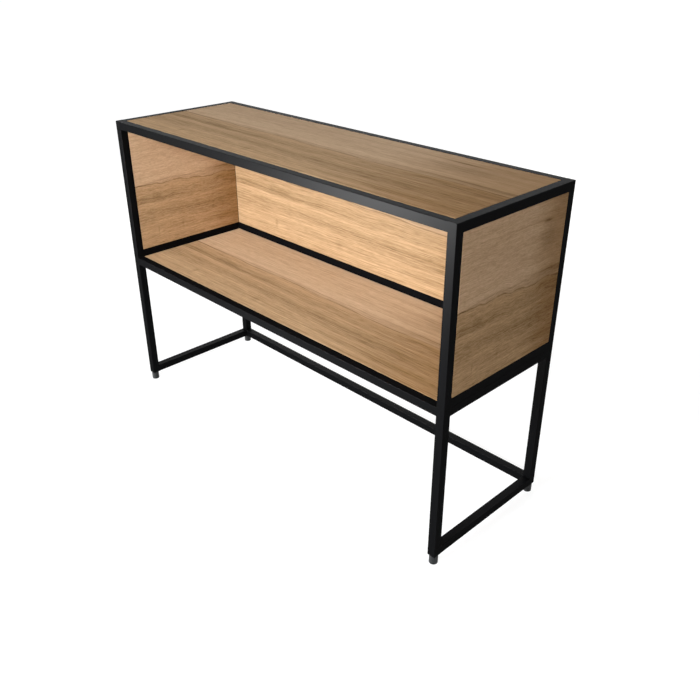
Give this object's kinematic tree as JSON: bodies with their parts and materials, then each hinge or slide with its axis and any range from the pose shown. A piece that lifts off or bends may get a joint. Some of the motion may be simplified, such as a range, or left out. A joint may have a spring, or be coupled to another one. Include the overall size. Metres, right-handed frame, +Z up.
{
  "type": "open sideboard",
  "caption": "Open-fronted sideboard: black square-tube steel frame with inset wood-veneer boards, one open compartment above a clear leg space, and screw-adjusted levelling feet.",
  "frame": {"origin": "on the floor, under the middle of the frame", "axes": "+X to the right along the length, +Y to the back, +Z up; the open side faces -Y"},
  "size_m": [1.13, 0.375, 0.773],
  "materials": {
    "frame_black": "black powder coat, satin, fine texture",
    "veneered_board": "light walnut veneer, satin lacquer, grain along the length",
    "zinc_fixing": "bright zinc plate",
    "foot_plastic": "dark grey moulded plastic, matt",
    "insert_plastic": "black moulded plastic, matt",
    "plug_plastic": "black moulded plastic, matt"
  },
  "bodies": {
    "frame": {"front_left_post": "frame_black", "front_right_post": "frame_black", "rear_left_post": "frame_black", "rear_right_post": "frame_black", "front_left_post_cap": "frame_black", "front_right_post_cap": "frame_black", "rear_left_post_cap": "frame_black", "rear_right_post_cap": "frame_black", "front_top_rail": "frame_black", "rear_top_rail": "frame_black", "left_top_rail": "frame_black", "right_top_rail": "frame_black", "front_shelf_rail": "frame_black", "rear_shelf_rail": "frame_black", "left_shelf_rail": "frame_black", "right_shelf_rail": "frame_black", "rear_panel_rail": "frame_black", "left_panel_rail": "frame_black", "right_panel_rail": "frame_black", "rear_stretcher": "frame_black", "left_stretcher": "frame_black", "right_stretcher": "frame_black", "top_panel": "veneered_board", "shelf_panel": "veneered_board", "back_panel": "veneered_board", "left_panel": "veneered_board", "right_panel": "veneered_board", "top_panel_tabs": "frame_black", "shelf_panel_tabs": "frame_black", "back_panel_tabs": "frame_black", "top_panel_screws": "zinc_fixing", "shelf_panel_screws": "zinc_fixing", "back_panel_screws": "zinc_fixing", "left_panel_screws": "zinc_fixing", "right_panel_screws": "zinc_fixing", "left_panel_pins": "zinc_fixing", "right_panel_pins": "zinc_fixing", "rear_left_post_plugs": "plug_plastic", "rear_right_post_plugs": "plug_plastic", "front_left_leg_insert": "insert_plastic", "front_right_leg_insert": "insert_plastic", "rear_left_leg_insert": "insert_plastic", "rear_right_leg_insert": "insert_plastic"},
    "front_left_leveller": {"front_left_foot": "foot_plastic", "front_left_foot_stud": "zinc_fixing"},
    "front_right_leveller": {"front_right_foot": "foot_plastic", "front_right_foot_stud": "zinc_fixing"},
    "rear_left_leveller": {"rear_left_foot": "foot_plastic", "rear_left_foot_stud": "zinc_fixing"},
    "rear_right_leveller": {"rear_right_foot": "foot_plastic", "rear_right_foot_stud": "zinc_fixing"}
  },
  "joints": [
    {"name": "front_left_leveller_slide", "type": "slide", "parent": "frame", "child": "front_left_leveller", "axis": [0, 0, -1], "range_m": [0, 0.012]},
    {"name": "front_right_leveller_slide", "type": "slide", "parent": "frame", "child": "front_right_leveller", "axis": [0, 0, -1], "range_m": [0, 0.012]},
    {"name": "rear_left_leveller_slide", "type": "slide", "parent": "frame", "child": "rear_left_leveller", "axis": [0, 0, -1], "range_m": [0, 0.012]},
    {"name": "rear_right_leveller_slide", "type": "slide", "parent": "frame", "child": "rear_right_leveller", "axis": [0, 0, -1], "range_m": [0, 0.012]}
  ]
}
